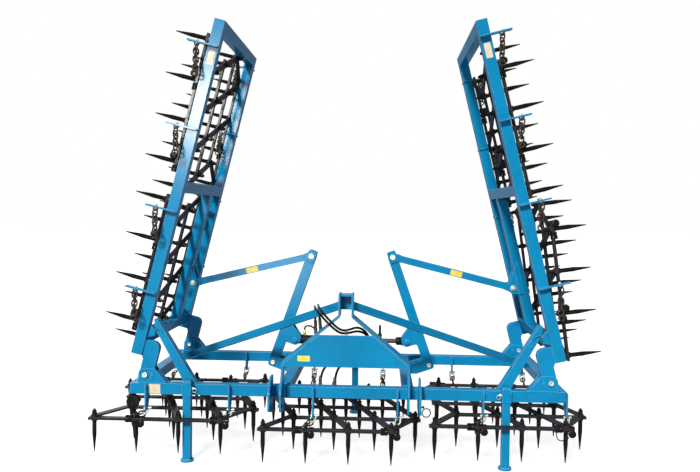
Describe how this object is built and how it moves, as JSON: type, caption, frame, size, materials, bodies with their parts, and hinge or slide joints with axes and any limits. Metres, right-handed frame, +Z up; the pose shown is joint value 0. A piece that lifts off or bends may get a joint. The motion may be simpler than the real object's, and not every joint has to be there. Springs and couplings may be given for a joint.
{
  "type": "folded tine harrow",
  "caption": "Mounted harrow of spiked sections hung on chains under a blue tube frame, with two wings folded upright by levers and a hydraulic cylinder.",
  "frame": {"origin": "middle of the footprint, on the ground", "axes": "+X across the machine towards its right wing as seen from the tractor side, +Y rearwards from the tractor, +Z up"},
  "size_m": [3.3102, 1.4064, 2.8351],
  "materials": {
    "black_paint": "semi-gloss black paint, worn at the edges",
    "blue_paint": "smooth gloss paint, blue",
    "chain_steel": "dark plain steel links",
    "chromed_rod": "polished hard chrome",
    "hose_rubber": "smooth black hydraulic hose",
    "plug_steel": "zinc-plated steel, dulled",
    "tine_steel": "hot-forged steel painted black"
  },
  "bodies": {
    "frame": {"braces": "blue_paint", "chains": "chain_steel", "frame_tubes": "blue_paint", "front_beam": "blue_paint", "front_plate": "blue_paint", "hangers": "blue_paint", "headstock": "blue_paint", "hinge_brackets_left": "blue_paint", "hinge_brackets_right": "blue_paint", "hose_1": "hose_rubber", "hose_2": "hose_rubber", "hose_plugs": "plug_steel", "leg_sleeves": "blue_paint", "lever_brackets": "blue_paint", "lock_bars": "blue_paint", "mast": "blue_paint", "rear_beam": "blue_paint", "section_left_bars": "black_paint", "section_left_rails": "black_paint", "section_left_tines": "tine_steel", "section_middle_bars": "black_paint", "section_middle_rails": "black_paint", "section_middle_tines": "tine_steel", "section_right_bars": "black_paint", "section_right_rails": "black_paint", "section_right_tines": "tine_steel", "splay_bars": "blue_paint"},
    "cylinder_barrel": {"cylinder_barrel": "black_paint"},
    "cylinder_rod": {"cylinder_rod": "chromed_rod"},
    "leg_left": {"leg_left": "blue_paint"},
    "leg_rear": {"leg_rear": "blue_paint"},
    "leg_right": {"leg_right": "blue_paint"},
    "lever_left": {"lever_left": "blue_paint"},
    "lever_right": {"lever_right": "blue_paint"},
    "link_left": {"link_left": "blue_paint"},
    "link_right": {"link_right": "blue_paint"},
    "wing_left": {"wing_left_arms": "blue_paint", "wing_left_cross_tubes": "blue_paint", "wing_left_front_beam": "blue_paint", "wing_left_hangers": "blue_paint", "wing_left_link_beam": "blue_paint", "wing_left_rear_beam": "blue_paint"},
    "wing_left_inner_section": {"wing_left_inner_bars": "black_paint", "wing_left_inner_rails": "black_paint", "wing_left_inner_tines": "tine_steel"},
    "wing_left_outer_section": {"wing_left_outer_bars": "black_paint", "wing_left_outer_rails": "black_paint", "wing_left_outer_tines": "tine_steel"},
    "wing_right": {"wing_right_arms": "blue_paint", "wing_right_cross_tubes": "blue_paint", "wing_right_front_beam": "blue_paint", "wing_right_hangers": "blue_paint", "wing_right_link_beam": "blue_paint", "wing_right_rear_beam": "blue_paint"},
    "wing_right_inner_section": {"wing_right_inner_bars": "black_paint", "wing_right_inner_rails": "black_paint", "wing_right_inner_tines": "tine_steel"},
    "wing_right_outer_section": {"wing_right_outer_bars": "black_paint", "wing_right_outer_rails": "black_paint", "wing_right_outer_tines": "tine_steel"}
  },
  "joints": [
    {"name": "wing_left_fold", "type": "hinge", "parent": "frame", "child": "wing_left", "pos_m": [-1.27115, 0.04675, 0.545], "axis": [0, -1, 0], "range_deg": [0, 104]},
    {"name": "lever_left_swing", "type": "hinge", "parent": "frame", "child": "lever_left", "pos_m": [-0.55115, 0.27675, 0.486], "axis": [0, -1, 0], "range_deg": [0, 60.55]},
    {"name": "link_left_swing", "type": "hinge", "parent": "lever_left", "child": "link_left", "pos_m": [-0.27315, 0.27675, 1.281], "axis": [0, -1, 0], "range_deg": [-33.74, 0]},
    {"name": "wing_right_fold", "type": "hinge", "parent": "frame", "child": "wing_right", "pos_m": [1.32885, 0.04675, 0.545], "axis": [0, 1, 0], "range_deg": [0, 104]},
    {"name": "lever_right_swing", "type": "hinge", "parent": "frame", "child": "lever_right", "pos_m": [0.60885, 0.27675, 0.486], "axis": [0, 1, 0], "range_deg": [0, 60.55]},
    {"name": "link_right_swing", "type": "hinge", "parent": "lever_right", "child": "link_right", "pos_m": [0.33085, 0.27675, 1.281], "axis": [0, 1, 0], "range_deg": [-33.74, 0]},
    {"name": "barrel_swing", "type": "hinge", "parent": "lever_left", "child": "cylinder_barrel", "pos_m": [-0.38815, 0.27675, 0.652], "axis": [0, -1, 0], "range_deg": [-60.55, 0]},
    {"name": "rod_extend", "type": "slide", "parent": "cylinder_barrel", "child": "cylinder_rod", "axis": [1, 0, 0], "range_m": [0, 0.45475]},
    {"name": "wing_left_inner_section_hang", "type": "slide", "parent": "wing_left", "child": "wing_left_inner_section", "axis": [-0.3423, 0, 0.9396], "range_m": [0, 0.28957]},
    {"name": "wing_left_outer_section_hang", "type": "slide", "parent": "wing_left", "child": "wing_left_outer_section", "axis": [-0.3078, 0, 0.9515], "range_m": [0, 0.30635]},
    {"name": "wing_right_inner_section_hang", "type": "hinge", "parent": "wing_right", "child": "wing_right_inner_section", "pos_m": [-0.75287, 0.04675, 1.85976], "axis": [0, -1, 0], "range_deg": [0, 6]},
    {"name": "wing_right_outer_section_hang", "type": "slide", "parent": "wing_right", "child": "wing_right_outer_section", "axis": [0.3765, 0, 0.9264], "range_m": [0, 0.27483]},
    {"name": "leg_left_raise", "type": "slide", "parent": "frame", "child": "leg_left", "axis": [0, 0, 1], "range_m": [0, 0.25]},
    {"name": "leg_right_raise", "type": "slide", "parent": "frame", "child": "leg_right", "axis": [0, 0, 1], "range_m": [0, 0.25]},
    {"name": "leg_rear_raise", "type": "slide", "parent": "frame", "child": "leg_rear", "axis": [0, 0, 1], "range_m": [0, 0.25]}
  ],
  "couplings": [
    {"joint": "lever_left_swing", "follows": "wing_left_fold", "ratio": 0.58212},
    {"joint": "link_left_swing", "follows": "wing_left_fold", "ratio": -0.32434},
    {"joint": "wing_right_fold", "follows": "wing_left_fold", "ratio": 1},
    {"joint": "lever_right_swing", "follows": "wing_left_fold", "ratio": 0.58212},
    {"joint": "link_right_swing", "follows": "wing_left_fold", "ratio": -0.32434},
    {"joint": "barrel_swing", "follows": "wing_left_fold", "ratio": -0.58212},
    {"joint": "rod_extend", "follows": "wing_left_fold", "m_per_rad": 0.25053},
    {"joint": "wing_left_inner_section_hang", "follows": "wing_left_fold", "m_per_rad": 0.15952},
    {"joint": "wing_left_outer_section_hang", "follows": "wing_left_fold", "m_per_rad": 0.16877},
    {"joint": "wing_right_inner_section_hang", "follows": "wing_left_fold", "ratio": 0.057692},
    {"joint": "wing_right_outer_section_hang", "follows": "wing_left_fold", "m_per_rad": 0.15141}
  ]
}
